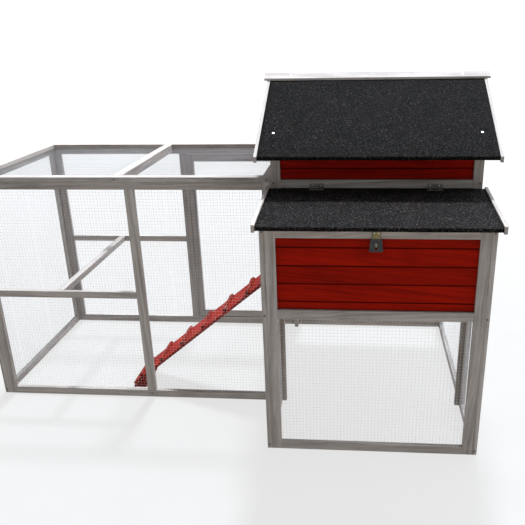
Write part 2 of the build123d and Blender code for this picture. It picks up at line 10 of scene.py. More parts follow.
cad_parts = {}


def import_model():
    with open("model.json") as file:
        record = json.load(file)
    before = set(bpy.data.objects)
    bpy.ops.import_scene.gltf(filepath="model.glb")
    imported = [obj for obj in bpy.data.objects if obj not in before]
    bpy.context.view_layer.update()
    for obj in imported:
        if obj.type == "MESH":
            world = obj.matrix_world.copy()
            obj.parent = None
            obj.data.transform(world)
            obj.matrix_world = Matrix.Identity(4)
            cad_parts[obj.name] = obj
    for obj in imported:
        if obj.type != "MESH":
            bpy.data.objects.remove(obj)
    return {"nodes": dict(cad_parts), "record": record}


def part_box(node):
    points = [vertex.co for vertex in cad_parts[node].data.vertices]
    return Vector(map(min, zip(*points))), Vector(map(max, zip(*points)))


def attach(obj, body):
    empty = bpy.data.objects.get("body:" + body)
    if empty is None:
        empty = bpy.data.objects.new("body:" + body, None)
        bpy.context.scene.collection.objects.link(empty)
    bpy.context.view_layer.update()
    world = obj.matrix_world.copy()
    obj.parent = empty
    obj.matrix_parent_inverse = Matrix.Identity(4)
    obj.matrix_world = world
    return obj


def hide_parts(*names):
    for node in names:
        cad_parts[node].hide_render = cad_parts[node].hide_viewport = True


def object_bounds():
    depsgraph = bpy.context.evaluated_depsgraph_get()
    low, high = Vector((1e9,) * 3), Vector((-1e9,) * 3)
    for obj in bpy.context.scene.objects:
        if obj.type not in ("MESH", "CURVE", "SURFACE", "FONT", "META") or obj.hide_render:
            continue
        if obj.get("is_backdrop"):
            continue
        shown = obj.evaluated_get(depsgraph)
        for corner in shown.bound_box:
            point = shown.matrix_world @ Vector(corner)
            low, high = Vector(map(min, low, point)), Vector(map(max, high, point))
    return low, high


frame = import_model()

cad_lo, cad_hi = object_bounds()
record = frame["record"]
BODY = {n: b for b, ns in record["behaviour"]["bodies"].items() for n in ns}
SLOT = {s["node"]: s["material_slot"] for s in record["subparts"]}
rng = random.Random(7)


# ---------------------------------------------------------------- node helpers
class Mat:
    def __init__(self, name):
        self.m = bpy.data.materials.new(name)
        self.m.use_nodes = True
        self.t = self.m.node_tree
        self.t.nodes.clear()
        self.out = self.t.nodes.new("ShaderNodeOutputMaterial")
        self.p = self.t.nodes.new("ShaderNodeBsdfPrincipled")
        self.t.links.new(self.p.outputs[0], self.out.inputs[0])

    def n(self, kind, **kw):
        x = self.t.nodes.new("ShaderNode" + kind)
        for k, v in kw.items():
            setattr(x, k, v)
        return x

    def l(self, a, b):
        self.t.links.new(a, b)

    def attr(self, name, vector=False):
        a = self.n("Attribute", attribute_name=name)
        return a.outputs["Vector" if vector else "Fac"]

    def obj(self):
        return self.n("TexCoord").outputs["Object"]

    def scaled(self, vec, s, off=(0, 0, 0)):
        m = self.n("Mapping")
        self.l(vec, m.inputs["Vector"])
        m.inputs["Scale"].default_value = s
        m.inputs["Location"].default_value = off
        return m.outputs[0]

    def noise(self, vec, scale=1.0, detail=3.0, rough=0.55, dist=0.0):
        x = self.n("TexNoise")
        self.l(vec, x.inputs["Vector"])
        x.inputs["Scale"].default_value = scale
        x.inputs["Detail"].default_value = detail
        x.inputs["Roughness"].default_value = rough
        x.inputs["Distortion"].default_value = dist
        return x.outputs["Fac"]

    def voronoi(self, vec, scale, feature="F1"):
        x = self.n("TexVoronoi", feature=feature)
        self.l(vec, x.inputs["Vector"])
        x.inputs["Scale"].default_value = scale
        return x

    def ramp(self, fac, stops):
        r = self.n("ValToRGB")
        self.l(fac, r.inputs[0])
        e = r.color_ramp.elements
        while len(e) < len(stops):
            e.new(0.5)
        for i, (p, c) in enumerate(stops):
            e[i].position = p
            e[i].color = (c[0], c[1], c[2], 1) if not isinstance(c, (int, float)) else (c, c, c, 1)
        return r.outputs[0]

    def mix(self, fac, a, b, mode="MIX"):
        x = self.n("Mix", data_type="RGBA", blend_type=mode)
        for sock, v in ((x.inputs[0], fac), (x.inputs[6], a), (x.inputs[7], b)):
            if isinstance(v, bpy.types.NodeSocket):
                self.l(v, sock)
            elif isinstance(v, (int, float)):
                sock.default_value = v
            else:
                sock.default_value = (*v, 1)
        return x.outputs[2]

    def math(self, op, a, b=None, clamp=False):
        x = self.n("Math", operation=op, use_clamp=clamp)
        for i, v in enumerate((a, b)):
            if v is None:
                continue
            if isinstance(v, bpy.types.NodeSocket):
                self.l(v, x.inputs[i])
            else:
                x.inputs[i].default_value = v
        return x.outputs[0]

    def rng(self, v, a, b, c, d):
        x = self.n("MapRange")
        self.l(v, x.inputs[0])
        for i, k in enumerate((a, b, c, d)):
            x.inputs[i + 1].default_value = k
        return x.outputs[0]

    def bump(self, height, dist, strength=1.0, normal=None):
        x = self.n("Bump")
        self.l(height, x.inputs["Height"])
        x.inputs["Distance"].default_value = dist
        x.inputs["Strength"].default_value = strength
        if normal is not None:
            self.l(normal, x.inputs["Normal"])
        return x.outputs[0]

    def done(self, colour, rough, normal=None, metal=0.0, spec=None):
        self.l(colour, self.p.inputs["Base Color"])
        if isinstance(rough, bpy.types.NodeSocket):
            self.l(rough, self.p.inputs["Roughness"])
        else:
            self.p.inputs["Roughness"].default_value = rough
        if normal is not None:
            self.l(normal, self.p.inputs["Normal"])
        if isinstance(metal, bpy.types.NodeSocket):
            self.l(metal, self.p.inputs["Metallic"])
        else:
            self.p.inputs["Metallic"].default_value = metal
        if spec is not None:
            self.p.inputs["Specular IOR Level"].default_value = spec
        return self.m


# ---------------------------------------------------------------- materials
def wood(name, light, dark, knot, bare_and_shade_colour, rough, streak=0.5, wear_amount=0.55, relief=1.0, spec=0.3, dirt=0.25, knots=0.6):
    """Timber seen through a coat: growth streaks and knots along each member, worn edges, a little dirt, and, for faces
    marked above 2, the edge colour in full, which on the red boards is painted shade in the grooves and along eased
    edges.
    """
    m = Mat(name)
    g = m.attr("grain", vector=True)
    warp = m.noise(m.scaled(g, (2.2, 9, 9)), 1.0, 2.0)
    wv = m.n("VectorMath", operation="ADD")
    off = m.n("CombineXYZ")
    m.l(m.rng(warp, 0, 1, -0.010, 0.010), off.inputs[1])
    m.l(m.rng(warp, 0, 1, 0.008, -0.008), off.inputs[2])
    m.l(g, wv.inputs[0])
    m.l(off.outputs[0], wv.inputs[1])
    gw = wv.outputs[0]
    broad = m.noise(m.scaled(gw, (1.5, 75, 75)), 1.0, 3.0, 0.6)
    fine = m.noise(m.scaled(gw, (9, 620, 620)), 1.0, 3.0, 0.65)
    pores = m.noise(m.scaled(gw, (38, 1500, 1500)), 1.0, 2.0, 0.6)
    st = m.math("ADD", m.math("MULTIPLY", broad, 0.55), m.math("MULTIPLY", fine, 0.45))
    st = m.rng(st, 0.36, 0.66, 0.0, 1.0)
    c = m.ramp(st, [(0.0, dark), (0.35, tuple(a * (1 - streak) + b * streak for a, b in zip(light, dark))), (0.7, light), (1.0, tuple(min(1, a * 1.07) for a in light))])
    kv = m.voronoi(m.scaled(gw, (3.2, 15, 15)), 1.0)
    kd = m.rng(kv.outputs["Distance"], 0.05, 0.17, 1.0, 0.0)
    sep = m.n("SeparateColor")
    m.l(kv.outputs["Color"], sep.inputs[0])
    kpick = m.rng(sep.outputs[0], 0.72, 0.76, 0.0, 1.0)
    kf = m.math("MULTIPLY", m.math("MULTIPLY", kd, kpick), knots, clamp=True)
    c = m.mix(kf, c, knot)
    blot = m.noise(m.obj(), 7.0, 4.0, 0.6)
    c = m.mix(m.rng(blot, 0.45, 0.75, 0.0, dirt), c, tuple(a * 0.55 for a in dark))
    tone = m.rng(m.attr("tone"), 0, 1, 0.90, 1.08)
    tc = m.n("CombineColor")
    for i in range(3):
        m.l(tone, tc.inputs[i])
    c = m.mix(1.0, c, tc.outputs[0], "MULTIPLY")
    wear = m.math("MULTIPLY", m.attr("wear"), m.rng(m.noise(m.obj(), 60.0, 4.0, 0.7), 0.48, 0.62, 0.0, 1.0), clamp=True)
    # values above 2 mark board grooves and eased edges, which take the edge colour in full: painted shade on the red
    # boards
    wear = m.math("MAXIMUM", wear, m.math("SUBTRACT", m.attr("wear"), 2.0), clamp=True)
    c = m.mix(m.math("MULTIPLY", wear, wear_amount), c, bare_and_shade_colour)
    h = m.math("ADD", m.math("MULTIPLY", fine, 0.6), m.math("MULTIPLY", pores, 0.25))
    h = m.math("ADD", h, m.math("MULTIPLY", broad, 0.5))
    nrm = m.bump(h, 0.0006 * relief, 0.8)
    r = m.rng(fine, 0.3, 0.7, rough - 0.08, rough + 0.1)
    return m.done(c, r, nrm, 0.0, spec)


def felt(name, base, warm, spark=1.0):
    """Mineral felt: packed granules of mixed greys with scattered pale ones, and broad uneven patches."""
    m = Mat(name)
    o = m.obj()
    jit = m.noise(o, 900.0, 2.0)
    v = m.voronoi(o, 520.0)
    sep = m.n("SeparateColor")
    m.l(v.outputs["Color"], sep.inputs[0])
    a, b = sep.outputs[0], sep.outputs[1]
    k = base
    c = m.ramp(a, [(0.0, (k * 0.30, k * 0.28, k * 0.27)), (0.55, (k * 0.75, k * 0.69, k * 0.65)), (0.86, (k * 1.3, k * 1.17, k * 1.09)), (0.94, (k * 4.1 * spark, k * 3.55 * spark, k * 3.2 * spark)), (1.0, (k * 9.5 * spark, k * 7.9 * spark, k * 7.0 * spark))])
    v2 = m.voronoi(o, 210.0)
    s2 = m.n("SeparateColor")
    m.l(v2.outputs["Color"], s2.inputs[0])
    clump = m.rng(s2.outputs[2], 0.0, 1.0, 0.40, 1.85)
    patch = m.rng(m.noise(o, 11.0, 5.0, 0.65), 0.3, 0.7, 0.78, 1.25)
    f = m.math("MULTIPLY", clump, patch)
    tc = m.n("CombineColor")
    for i in range(3):
        m.l(f, tc.inputs[i])
    c = m.mix(1.0, c, tc.outputs[0], "MULTIPLY")
    c = m.mix(m.rng(m.noise(o, 26.0, 3.0), 0.5, 0.8, 0.0, 0.35), c, warm)
    h = m.math("ADD", m.rng(v.outputs["Distance"], 0.0, 0.7, 1.0, 0.0), m.math("MULTIPLY", jit, 0.5))
    h = m.math("ADD", h, m.math("MULTIPLY", b, 0.5))
    return m.done(c, m.rng(b, 0, 1, 0.78, 0.96), m.bump(h, 0.0007, 0.9), 0.0, 0.03)


def metal(name, light, dark, rough=0.38, metallic=1.0, scale=140.0, rust=0.0, scratch=True):
    """Plated steel: crystalline spangle, dull patches, fine scratches and a little tarnish."""
    m = Mat(name)
    o = m.obj()
    v = m.voronoi(o, scale)
    sep = m.n("SeparateColor")
    m.l(v.outputs["Color"], sep.inputs[0])
    dull = m.noise(o, 45.0, 5.0, 0.65)
    c = m.mix(m.rng(sep.outputs[0], 0, 1, 0.0, 0.55), light, dark)
    c = m.mix(m.rng(dull, 0.5, 0.72, 0.0, 0.6), c, tuple(x * 0.6 for x in dark))
    if rust:
        c = m.mix(m.rng(m.noise(o, 130.0, 6.0, 0.7), 0.62, 0.72, 0.0, rust), c, (0.17, 0.065, 0.025))
    fine = m.noise(m.scaled(o, (900, 900, 90)), 1.0, 3.0, 0.6)
    r = m.math("ADD", m.rng(dull, 0.35, 0.7, rough - 0.08, rough + 0.16), m.rng(fine, 0.3, 0.7, -0.05, 0.06))
    return m.done(c, r, m.bump(m.math("ADD", fine, dull), 0.00012, 0.6), metallic)


MATS = {
    "white_timber": wood("white_paint", (0.378, 0.338, 0.302), (0.188, 0.160, 0.137), (0.21, 0.165, 0.12), (0.31, 0.235, 0.155), 0.62, 0.45, 0.6, 1.0, 0.08, 0.30, 0.5),
    # red boards: the edge colour is darker than the paint, painted shade in the V-grooves and along eased edges
    "red_board": wood("red_paint", (0.276, 0.0062, 0.0007), (0.146, 0.0030, 0.0004), (0.12, 0.004, 0.001), (0.070, 0.0022, 0.0006), 0.52, 0.5, 0.78, 1.3, 0.03, 0.35, 0.65),
    "red_ramp": wood("red_stain", (0.30, 0.0190, 0.0090), (0.130, 0.0045, 0.0016), (0.08, 0.004, 0.002), (0.44, 0.15, 0.09), 0.6, 0.7, 0.8, 1.4, 0.02, 0.45, 0.6),
    "bare_timber": wood("pine", (0.62, 0.455, 0.285), (0.43, 0.275, 0.145), (0.20, 0.10, 0.045), (0.60, 0.45, 0.29), 0.66, 0.55, 0.3, 1.2, 0.25, 0.25, 0.95),
    "plywood": wood("ply", (0.57, 0.43, 0.275), (0.44, 0.30, 0.17), (0.27, 0.15, 0.07), (0.46, 0.33, 0.20), 0.7, 0.55, 0.4, 1.0, 0.2, 0.35, 0.5),
    "roof_felt": felt("granule_felt", 0.0048, (0.0130, 0.0080, 0.0062), 1.25),
    "wire_mesh": metal("galvanised_wire", (0.50, 0.50, 0.505), (0.38, 0.38, 0.385), 0.55, 0.25, 500.0, 0.0),
    "zinc_steel": metal("zinc_plate", (0.62, 0.63, 0.65), (0.40, 0.41, 0.43), 0.34, 1.0, 260.0, 0.25),
    "bronzed_steel": metal("bronzed_plate", (0.20, 0.165, 0.075), (0.10, 0.083, 0.04), 0.38, 0.9, 300.0, 0.2),
}
# lighter and darker copies of the galvanised wire, which is one grey: painted light on the pen meshes under the house,
# painted shade on the sunlit top mesh
MATS["wire_painted_lighter"] = metal("wire_painted_lighter", (0.76, 0.765, 0.77), (0.62, 0.625, 0.63), 0.55, 0.15, 500.0, 0.0)
MATS["wire_painted_darker"] = metal("wire_painted_darker", (0.34, 0.34, 0.345), (0.25, 0.25, 0.255), 0.55, 0.25, 500.0, 0.0)
MATS["lid_felt"] = felt("lid_granule_felt", 0.0054, (0.0185, 0.0105, 0.0074), 1.7)
# a darker copy of the ramp stain for the cleats: painted shade on the cleat faces; their eased edges turn lighter in
# patches
MATS["red_cleat"] = wood("red_cleat_stain", (0.215, 0.0120, 0.0055), (0.100, 0.0040, 0.0015), (0.06, 0.003, 0.0015), (0.50, 0.19, 0.12), 0.6, 0.7, 1.0, 1.4, 0.02, 0.45, 0.6)
# a darker, rust-flecked copy of the zinc plate: the rust is real, the darkness is painted shade
MATS["rusty_shaded_zinc"] = metal("rusty_shaded_zinc", (0.20, 0.182, 0.165), (0.075, 0.065, 0.057), 0.45, 0.8, 420.0, 0.8)
MATS["dark_plate"] = metal("dark_plate", (0.052, 0.054, 0.050), (0.022, 0.023, 0.022), 0.42, 0.85, 300.0, 0.15)
MATS["bright_steel"] = metal("bright_steel", (0.34, 0.325, 0.29), (0.20, 0.19, 0.165), 0.38, 1.0, 300.0, 0.0)
MATS["galvanised_sheet"] = metal("galvanised_sheet", (0.66, 0.675, 0.69), (0.46, 0.475, 0.49), 0.36, 1.0, 55.0, 0.1)


# ---------------------------------------------------------------- the solids of a node
def solids_of(node):
    """[(points, triangles)] of each closed solid in a CAD node."""
    me = frame["nodes"][node].data
    co = np.zeros(len(me.vertices) * 3, np.float32)
    me.vertices.foreach_get("co", co)
    co = co.reshape(-1, 3).astype(float)
    key = [tuple(k) for k in np.round(co * 1e5).astype(int)]
    out, tris, open_edges = [], [], {}
    for p in me.polygons:
        v = [key[i] for i in p.vertices]
        pts = [co[i] for i in p.vertices]
        tris.append((v, pts))
        for a, b in zip(v, v[1:] + v[:1]):
            if a == b:
                continue
            if open_edges.get((b, a), 0) > 0:
                open_edges[(b, a)] -= 1
                if open_edges[(b, a)] == 0:
                    del open_edges[(b, a)]
            else:
                open_edges[(a, b)] = open_edges.get((a, b), 0) + 1
        if not open_edges:
            out.append(tris)
            tris = []
    if tris:
        out.append(tris)
    res = []
    for t in out:
        idx, pts, faces = {}, [], []
        for v, ps in t:
            f = []
            for k, q in zip(v, ps):
                if k not in idx:
                    idx[k] = len(pts)
                    pts.append(q)
                f.append(idx[k])
            if len(set(f)) == len(f):
                faces.append(tuple(f))
        res.append((np.array(pts), faces))
    return res


class Build:
    """Collects vertices and faces with their attributes, and makes one object of them."""

    def __init__(self):
        self.v, self.f, self.grain, self.tone, self.wear, self.smooth, self.mi = [], [], [], [], [], [], []

    def add(self, pts, faces, grain=None, tone=0.5, wear=None, smooth=False, mi=0):
        base = len(self.v)
        self.v.extend([tuple(p) for p in pts])
        self.f.extend([tuple(i + base for i in f) for f in faces])
        self.grain.extend([tuple(x) for x in (grain if grain is not None else pts)])
        self.tone.extend([tone] * len(pts))
        self.wear.extend(wear if wear is not None else [0.0] * len(faces))
        self.smooth.extend([smooth] * len(faces) if not isinstance(smooth, list) else smooth)
        self.mi.extend([mi] * len(faces))

    def make(self, name, mats):
        me = bpy.data.meshes.new(name)
        me.from_pydata(self.v, [], self.f)
        a = me.attributes.new("grain", "FLOAT_VECTOR", "POINT")
        a.data.foreach_set("vector", np.array(self.grain, np.float32).ravel())
        a = me.attributes.new("tone", "FLOAT", "POINT")
        a.data.foreach_set("value", np.array(self.tone, np.float32))
        a = me.attributes.new("wear", "FLOAT", "FACE")
        a.data.foreach_set("value", np.array(self.wear, np.float32))
        me.polygons.foreach_set("use_smooth", np.array(self.smooth, bool))
        for m in mats:
            me.materials.append(m)
        me.polygons.foreach_set("material_index", np.array(self.mi, np.int32))
        me.update()
        o = bpy.data.objects.new(name, me)
        bpy.context.scene.collection.objects.link(o)
        return o


def grain_frame(d):
    d = Vector(d).normalized()
    up = Vector((0, 0, 1)) if abs(d.z) < 0.9 else Vector((0, 1, 0))
    e1 = up.cross(d).normalized()
    return d, e1, d.cross(e1).normalized()


def timber(build, pts, faces, bevel, rnd, mi=0, groove_shade=0.0):
    """One member: faces merged, edges eased, with its own grain."""
    bm = bmesh.new()
    vs = [bm.verts.new(p) for p in pts]
    for f in faces:
        try:
            bm.faces.new([vs[i] for i in f])
        except ValueError:
            pass
    bmesh.ops.dissolve_limit(bm, angle_limit=math.radians(1.0), use_dissolve_boundaries=False, verts=bm.verts[:], edges=bm.edges[:])
    longest = max(bm.edges, key=lambda e: e.calc_length())
    d, e1, e2 = grain_frame(longest.verts[1].co - longest.verts[0].co)
    new = set()
    if bevel > 0:
        sharp = [e for e in bm.edges if len(e.link_faces) == 2 and e.calc_face_angle(0) > math.radians(25)]
        r = bmesh.ops.bevel(bm, geom=sharp, offset=bevel, offset_type="OFFSET", segments=2, profile=0.5, affect="EDGES", clamp_overlap=True)
        new = set(r["faces"])
    bm.verts.index_update()
    bm.normal_update()
    o = (rnd.uniform(0, 20), rnd.uniform(0, 20), rnd.uniform(0, 20))
    P = [v.co.copy() for v in bm.verts]
    G = [(p.dot(d) + o[0], p.dot(e1) + o[1], p.dot(e2) + o[2]) for p in P]
    F = [tuple(v.index for v in f.verts) for f in bm.faces]
    # when the groove level is set, eased edges and groove faces take it: painted shade in the red boards' V-grooves and
    # along their edges; otherwise eased edges are marked for wear
    wear = [max(1.0, groove_shade) if f in new else groove_shade if groove_shade and max(abs(c) for c in f.normal) < 0.93 else 0.0 for f in bm.faces]
    build.add(P, F, G, rnd.random(), wear, False, mi)
    bm.free()


def settle(o, node, *more):
    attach(o, BODY[node])
    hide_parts(node, *more)
    return o


# ---------------------------------------------------------------- timbers and boards
WOODS = ("white_timber", "red_board", "red_ramp", "bare_timber", "plywood")
counts = {}
for node in sorted(frame["nodes"]):
    if SLOT[node] not in WOODS:
        continue
    rnd = random.Random("grain " + node)
    b = Build()
    parts = solids_of(node)
    counts[node] = len(parts)
    for pts, faces in parts:
        ease = {"white_timber": 0.0012, "red_board": 0.0005, "red_ramp": 0.0014, "bare_timber": 0.0010, "plywood": 0.0005}[SLOT[node]]
        # the last argument, 3 for the red boards, paints shade into their V-grooves and along their eased edges
        timber(b, pts, faces, ease, rnd, 0, 3.0 if SLOT[node] == "red_board" else 0.0)
    # the ramp cleats take the darker copy of the ramp stain: painted shade
    settle(b.make(node + ".wood", [MATS["red_cleat" if node == "ramp_cleats" else SLOT[node]]]), node)


# ---------------------------------------------------------------- welded mesh of single wires
PITCH, WIRE = 0.0127, 0.00025


def wire(build, a, c, r, rnd):
    d, e1, e2 = grain_frame(Vector(c) - Vector(a))
    n = 6
    ring = [(math.cos(2 * math.pi * (i + 0.5) / n) * r, math.sin(2 * math.pi * (i + 0.5) / n) * r) for i in range(n)]
    P = [Vector(a) + e1 * u + e2 * v for u, v in ring] + [Vector(c) + e1 * u + e2 * v for u, v in ring]
    F = [(i, (i + 1) % n, n + (i + 1) % n, n + i) for i in range(n)] + [tuple(range(n - 1, -1, -1)), tuple(range(n, 2 * n))]
    build.add(P, F, None, rnd.random(), None, [True] * n + [False, False])


for node in sorted(frame["nodes"]):
    if SLOT[node] != "wire_mesh":
        continue
    rnd = random.Random("wire " + node)
    b = Build()
    for pts, _ in solids_of(node):
        lo, hi = pts.min(0), pts.max(0)
        size = hi - lo
        w = int(np.argmin(size))
        u, v = [i for i in range(3) if i != w]
        for layer, (along, across) in enumerate(((u, v), (v, u))):
            k = int((size[across] - 2 * WIRE) // PITCH)
            start = lo[across] + (size[across] - k * PITCH) / 2
            for i in range(k + 1):
                a, c = [0, 0, 0], [0, 0, 0]
                a[along], c[along] = lo[along], hi[along]
                a[across] = c[across] = start + i * PITCH + rnd.gauss(0, 0.00012)
                a[w] = c[w] = lo[w] + WIRE * (1 + 2 * layer)
                wire(b, a, c, WIRE * 0.99, rnd)
    # the pen meshes take the lighter copy (painted light), the top mesh the darker copy (painted shade)
    wire_light_and_shade = {"pen_front_mesh": "wire_painted_lighter", "pen_meshes": "wire_painted_lighter", "run_top_meshes": "wire_painted_darker"}.get(node, "wire_mesh")
    settle(b.make(node + ".wires", [MATS[wire_light_and_shade]]), node)


# ---------------------------------------------------------------- felts, each one sheet folded over its front edge
def felt_sheet(build, x0, x1, top, thick, fold_r, drop, side, rnd):
    """top = [(y, z)] from the back edge to the front corner; the sheet turns down over that corner by drop."""
    (yb, zb), (yf, zf) = top
    s = Vector((yf - yb, zf - zb))
    L = s.length
    t = s.normalized()
    nrm = Vector((-t.y, t.x))
    if nrm.y < 0:
        nrm = -nrm
    down = Vector((0, -1))
    ang = math.acos(max(-1, min(1, t.dot(down))))
    tan = fold_r * math.tan(ang / 2)
    outer = []
    n1 = max(2, int((L - tan) / 0.02))
    for i in range(n1 + 1):
        outer.append((Vector((yb, zb)) + t * (L - tan) * i / n1, nrm))
    out_n = Vector((side, 0))
    c0 = Vector((yf, zf)) - t * tan - nrm * fold_r
    for i in range(1, 7):
        a = i / 6
        n = (nrm * math.sin(ang * (1 - a)) + out_n * math.sin(ang * a)) / math.sin(ang)
        outer.append((c0 + n * fold_r, n))
    endp = Vector((yf, zf)) + down * drop
    startp = outer[-1][0]
    for i in range(1, 3):
        outer.append((startp.lerp(endp, i / 2), out_n))
    nx = max(8, int((x1 - x0) / 0.02))
    P, G = [], []
    m = len(outer)
    ph = [rnd.uniform(0, 6.3) for _ in range(6)]

    def ripple(x, q):
        return 0.5 + 0.5 * (0.5 * math.sin(x * 17 + ph[0] + q * 3) + 0.3 * math.sin(x * 39 + ph[1] - q * 7) + 0.2 * math.sin(x * 83 + ph[2] + q * 11))
    for off in (0.0, 1.0):
        for i in range(nx + 1):
            x = x0 + (x1 - x0) * i / nx
            for j, (p, n) in enumerate(outer):
                q = j / m
                dn = -0.0006 * ripple(x, q) * (1 if 0 < i < nx else 0.6) - off * thick
                pt = p + n * dn
                z = pt.y
                if j == m - 1:
                    z += 0.0009 * ripple(x, 5.0)
                P.append(Vector((x, pt.x, z)))
                G.append((x, j * 0.01, 0))
    F = []
    K = (nx + 1) * m
    flip = side > 0
    for i in range(nx):
        for j in range(m - 1):
            a, b_, c, d = i * m + j, (i + 1) * m + j, (i + 1) * m + j + 1, i * m + j + 1
            F.append((a, d, c, b_) if not flip else (a, b_, c, d))
            F.append((K + a, K + b_, K + c, K + d) if not flip else (K + a, K + d, K + c, K + b_))
    def rim(seq):
        for a, c in zip(seq, seq[1:]):
            F.append((a, c, K + c, K + a))
    rim([i * m for i in range(nx + 1)])
    rim([i * m + m - 1 for i in range(nx, -1, -1)])
    rim([j for j in range(m - 1, -1, -1)])
    rim([nx * m + j for j in range(m)])
    build.add(P, F, G, 0.5, None, True)


def fix_normals(o):
    bm = bmesh.new()
    bm.from_mesh(o.data)
    bmesh.ops.recalc_face_normals(bm, faces=bm.faces[:])
    bm.to_mesh(o.data)
    bm.free()
    o.data.update()


for node in ("roof_felts", "lid_felt"):
    rnd = random.Random(node)
    b = Build()
    parts = [(p.min(0), p.max(0), p) for p, _ in solids_of(node)]
    slabs = [q for q in parts if q[1][1] - q[0][1] > 0.1]
    bands = [q for q in parts if q[1][1] - q[0][1] <= 0.1]
    for lo, hi, p in slabs:
        band = min(bands, key=lambda q: min(abs(q[0][1] - lo[1]), abs(q[1][1] - hi[1])))
        side = -1 if abs(band[0][1] - lo[1]) < abs(band[1][1] - hi[1]) else 1
        yf = lo[1] if side < 0 else hi[1]
        yb = hi[1] if side < 0 else lo[1]
        at = lambda y: max(q[2] for q in p if abs(q[1] - y) < 1e-4)
        edge = band[0][1] if side < 0 else band[1][1]
        k = (at(yf) - at(yb)) / (yf - yb)
        zedge = at(yf) + k * (edge - yf)
        ztop = min(zedge, float(p[:, 2].max()))
        drop = ztop - band[0][2]
        felt_sheet(b, lo[0], hi[0], [(yb, at(yb)), (edge, ztop)], 0.0024, 0.0050, drop, side, rnd)
    o = settle(b.make(node + ".sheet", [MATS["lid_felt" if node == "lid_felt" else "roof_felt"]]), node)
    fix_normals(o)


# ---------------------------------------------------------------- screws
def screw_head(build, c, n, r, h, rnd, cross=True, mi=0):
    d, e1, e2 = grain_frame(n)
    a0 = rnd.uniform(0, math.pi)
    ca, sa = math.cos(a0), math.sin(a0)
    e1, e2 = e1 * ca + e2 * sa, e2 * ca - e1 * sa
    rings, seg = 9, 32
    P, F = [c + d * (h * 0.55 if cross else h)], []
    for i in range(1, rings + 1):
        q = i / rings
        for j in range(seg):
            t = 2 * math.pi * j / seg
            x, y = math.cos(t) * q * r, math.sin(t) * q * r
            z = h * math.sqrt(max(0.0, 1 - (q * 0.96) ** 2)) if i < rings else 0.0
            if cross and q < 0.6:
                near = min(abs(x), abs(y))
                if near < r * 0.13:
                    z = min(z, h * 0.45)
            P.append(c + e1 * x + e2 * y + d * z)
    for j in range(seg):
        F.append((0, 1 + j, 1 + (j + 1) % seg))
    for i in range(rings - 1):
        a, b_ = 1 + i * seg, 1 + (i + 1) * seg
        for j in range(seg):
            k = (j + 1) % seg
            F.append((a + j, b_ + j, b_ + k, a + k))
    F.append(tuple(reversed([1 + (rings - 1) * seg + j for j in range(seg)])))
    build.add(P, F, None, rnd.random(), None, [True] * (len(F) - 1) + [False], mi)


def shank(build, c, n, r, length, rnd):
    d, e1, e2 = grain_frame(n)
    seg, turns = 10, max(4, int(length / 0.0022))
    P, F = [], []
    for i in range(turns * 2 + 1):
        rr = r * (1.0 if i % 2 else 0.68)
        if i == turns * 2:
            rr = r * 0.1
        for j in range(seg):
            t = 2 * math.pi * j / seg
            P.append(c - d * (length * i / (turns * 2)) + (e1 * math.cos(t) + e2 * math.sin(t)) * rr)
    for i in range(turns * 2):
        for j in range(seg):
            k = (j + 1) % seg
            a, b_ = i * seg, (i + 1) * seg
            F.append((a + j, a + k, b_ + k, b_ + j))
    F.append(tuple(range(seg - 1, -1, -1)))
    F.append(tuple(turns * 2 * seg + j for j in range(seg)))
    build.add(P, F, None, 0.5, None, [True] * (len(F) - 2) + [False, False])


rnd = random.Random("screws")
b = Build()
for pts, faces in solids_of("frame_screws"):
    c = pts.mean(0)
    u, s, vt = np.linalg.svd(pts - c)
    ax = vt[0]
    t = (pts - c) @ ax
    rad = np.linalg.norm((pts - c) - np.outer(t, ax), axis=1)
    if rad[t > 0].max() < rad[t < 0].max():
        ax, t = -ax, -t
    head = rad.max()
    wide = t[rad > head * 0.9]
    base = c + ax * wide.min()
    # the axis passes through the middle of the head
    mid = pts[(rad > head * 0.9) & (t < wide.min() + 1e-4)].mean(0)
    base = mid
    # screw heads in vertical faces take the darker zinc copy and upward-facing ones the plain zinc: painted shade on
    # the side-facing heads
    screw_head(b, Vector(base), Vector(ax), float(head), 0.0014, rnd, True, 0 if abs(ax[2]) > 0.2 else 1)
    shank(b, Vector(base), Vector(ax), 0.0016, float(wide.min() - t.min()), rnd)
o = settle(b.make("frame_screws.heads", [MATS["zinc_steel"], MATS["rusty_shaded_zinc"]]), "frame_screws")
fix_normals(o)


def leaf_screws(node, name, pins):
    """Two countersunk screws in each hinge leaf of a node."""
    rnd = random.Random(name)
    b = Build()
    for pts, faces in solids_of(node):
        area = {}
        for f in faces:
            p0, p1, p2 = (Vector(pts[i]) for i in f[:3])
            n = (p1 - p0).cross(p2 - p0)
            a = n.length / 2
            if a < 1e-9:
                continue
            n.normalize()
            k = tuple(round(x, 2) for x in n)
            e = area.setdefault(k, [0.0, n, []])
            e[0] += a
            e[2].extend([p0, p1, p2])
        pin = min(pins, key=lambda q: (q[0] - Vector(pts.mean(0))).length)
        best = sorted(area.values(), key=lambda e: -e[0])[:2]
        mid = sum(best[0][2], Vector()) / len(best[0][2])
        n = best[0][1] if (pin[0] - mid).dot(best[0][1]) > 0 else best[1][1]
        e = [x for x in best if (x[1] - n).length < 1e-6]
        if not e:
            continue
        q = e[0][2]
        u = pin[1]
        w = n.cross(u).normalized()
        top = max(x.dot(n) for x in q)
        us, ws = [x.dot(u) for x in q], [x.dot(w) for x in q]
        L = max(us) - min(us)
        um, wm = (max(us) + min(us)) / 2, (max(ws) + min(ws)) / 2
        for k in (-0.30, 0.30):
            c = u * (um + L * k) + w * wm + n * top
            screw_head(b, c, n, 0.0028, 0.00055, rnd)
    o = b.make(name, [MATS["zinc_steel"]])
    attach(o, BODY[node])
    fix_normals(o)
    return o


